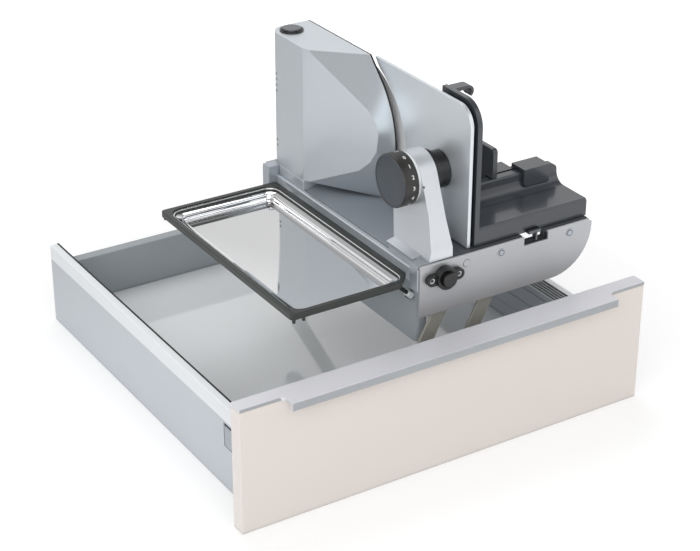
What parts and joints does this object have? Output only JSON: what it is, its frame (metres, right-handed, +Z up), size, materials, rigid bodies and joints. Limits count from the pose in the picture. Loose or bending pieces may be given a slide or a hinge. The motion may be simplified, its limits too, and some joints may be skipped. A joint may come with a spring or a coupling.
{
  "type": "built-in food slicer",
  "caption": "Electric food slicer on a parallel-arm lift inside a kitchen drawer, with round blade, motor housing, stop plate, sliding carriage and catch tray.",
  "frame": {"origin": "middle of the whole object's footprint, on the surface that the drawer stands on", "axes": "+X along the drawer front to the right, +Y back into the cabinet, +Z up"},
  "size_m": [0.446, 0.466, 0.3298],
  "materials": {
    "front_lacquer": "smooth cream lacquer on board",
    "profile_aluminium": "satin anodised",
    "drawer_side": "smooth silver grey lacquer",
    "rail_white": "smooth white",
    "board_grey": "light grey laminate",
    "back_grey": "dark grey laminate",
    "bracket_steel": "bare sheet steel",
    "lift_steel": "grey coated steel",
    "bright_steel": "polished",
    "base_dark": "dark coated metal",
    "plate_aluminium": "satin anodised",
    "block_aluminium": "satin",
    "chute_grey": "satin grey plastic",
    "housing_silver": "silver metallic lacquer",
    "lower_grey": "smooth light grey plastic",
    "rubber_black": "black",
    "black_plastic": "fine grained black plastic",
    "gear_plastic": "natural moulded plastic",
    "motor_steel": "plated can",
    "rotor_steel": "laminated core",
    "blade_steel": "polished stainless steel",
    "stop_aluminium": "satin anodised",
    "knob_grey": "satin dark grey",
    "collar_white": "smooth white",
    "pan_steel": "mirror polished stainless steel",
    "tray_black": "smooth dark plastic"
  },
  "bodies": {
    "drawer": {"front_panel": "front_lacquer", "grip_profile": "profile_aluminium", "side_left": "drawer_side", "side_right": "drawer_side", "side_rail_left": "rail_white", "side_rail_right": "rail_white", "back_panel": "back_grey", "floor_panel": "board_grey", "front_brackets": "bracket_steel", "mount_plate": "lift_steel", "rear_bracket": "lift_steel", "mount_screws": "bright_steel"},
    "lift_left": {"arm_front_left": "lift_steel", "pivot_pin_left": "bright_steel"},
    "lift_right": {"arm_front_right": "lift_steel", "arm_rear_right": "lift_steel", "pivot_pins_right": "bright_steel"},
    "base": {"link_pins": "bright_steel", "base_frame": "base_dark", "front_side_plate": "plate_aluminium", "rear_side_plate": "plate_aluminium", "end_block_front": "block_aluminium", "end_block_rear": "block_aluminium", "foot_rail": "block_aluminium", "slice_chute": "chute_grey", "housing_foot": "housing_silver", "lower_housing": "lower_grey", "carriage_rail": "bright_steel", "side_plate_screws": "bright_steel", "plate_plug": "chute_grey", "release_housing": "black_plastic", "release_screws": "bright_steel", "motor_housing": "housing_silver", "blade_guard": "stop_aluminium", "gear_carrier": "block_aluminium", "motor_case": "motor_steel", "support_arm": "housing_silver", "spindle_sleeve": "housing_silver", "button_ring": "black_plastic"},
    "release": {"release_button": "black_plastic"},
    "rotor": {"motor_rotor": "rotor_steel"},
    "blade_unit": {"drive_gear": "gear_plastic", "blade_hub": "black_plastic", "blade": "blade_steel", "blade_cap": "knob_grey"},
    "knob": {"thickness_knob": "knob_grey", "knob_collar": "collar_white"},
    "stop": {"stop_plate": "stop_aluminium", "stop_slider": "black_plastic"},
    "power": {"power_button": "knob_grey"},
    "slide_carriage": {"carriage": "black_plastic", "thumb_grip": "black_plastic", "carriage_shoe": "collar_white"},
    "pusher": {"food_pusher": "black_plastic", "pusher_rider": "black_plastic"},
    "tray": {"tray_pan": "pan_steel", "tray_frame": "tray_black", "tray_feet": "tray_black", "tray_hooks": "tray_black", "tray_hook_tips": "collar_white"}
  },
  "joints": [
    {"name": "lift_swing", "type": "hinge", "parent": "drawer", "child": "lift_left", "pos_m": [-0.0295, -0.033, 0.045], "axis": [0, -1, 0], "range_deg": [0, 97]},
    {"name": "lift_right_swing", "type": "hinge", "parent": "drawer", "child": "lift_right", "pos_m": [0.024, -0.033, 0.045], "axis": [0, -1, 0], "range_deg": [0, 97]},
    {"name": "base_level", "type": "hinge", "parent": "lift_left", "child": "base", "pos_m": [0.023, -0.033, 0.145], "axis": [0, -1, 0], "range_deg": [-97, 0]},
    {"name": "release_press", "type": "slide", "parent": "base", "child": "release", "axis": [0, 1, 0], "range_m": [0, 0.0035], "stiffness_N_per_m": 500, "springref_m": -0.0005},
    {"name": "blade_spin", "type": "hinge", "parent": "base", "child": "blade_unit", "pos_m": [0.0485, 0.031, 0.2328], "axis": [1, 0, 0], "continuous": true},
    {"name": "motor_spin", "type": "hinge", "parent": "base", "child": "rotor", "pos_m": [0.0205, 0.05912, 0.26631], "axis": [1, 0, 0], "continuous": true},
    {"name": "thickness_turn", "type": "hinge", "parent": "base", "child": "knob", "pos_m": [0.0055, -0.119, 0.2518], "axis": [1, 0, 0], "range_deg": [-66, 242]},
    {"name": "stop_slide", "type": "slide", "parent": "base", "child": "stop", "axis": [-1, 0, 0], "range_m": [-0.003, 0.011]},
    {"name": "power_press", "type": "slide", "parent": "base", "child": "power", "axis": [0, 0, -1], "range_m": [0, 0.0025], "stiffness_N_per_m": 500, "springref_m": -0.0005},
    {"name": "carriage_slide", "type": "slide", "parent": "base", "child": "slide_carriage", "axis": [0, 1, 0], "range_m": [0, 0.2]},
    {"name": "pusher_slide", "type": "slide", "parent": "slide_carriage", "child": "pusher", "axis": [-1, 0, 0], "range_m": [0, 0.045]},
    {"name": "tray_pull", "type": "slide", "parent": "base", "child": "tray", "axis": [-1, 0, 0], "range_m": [0, 0.17]}
  ],
  "couplings": [
    {"joint": "lift_right_swing", "follows": "lift_swing", "ratio": 1},
    {"joint": "base_level", "follows": "lift_swing", "ratio": -1},
    {"joint": "motor_spin", "follows": "blade_spin", "ratio": -4},
    {"joint": "stop_slide", "follows": "thickness_turn", "m_per_rad": 0.0026043}
  ]
}
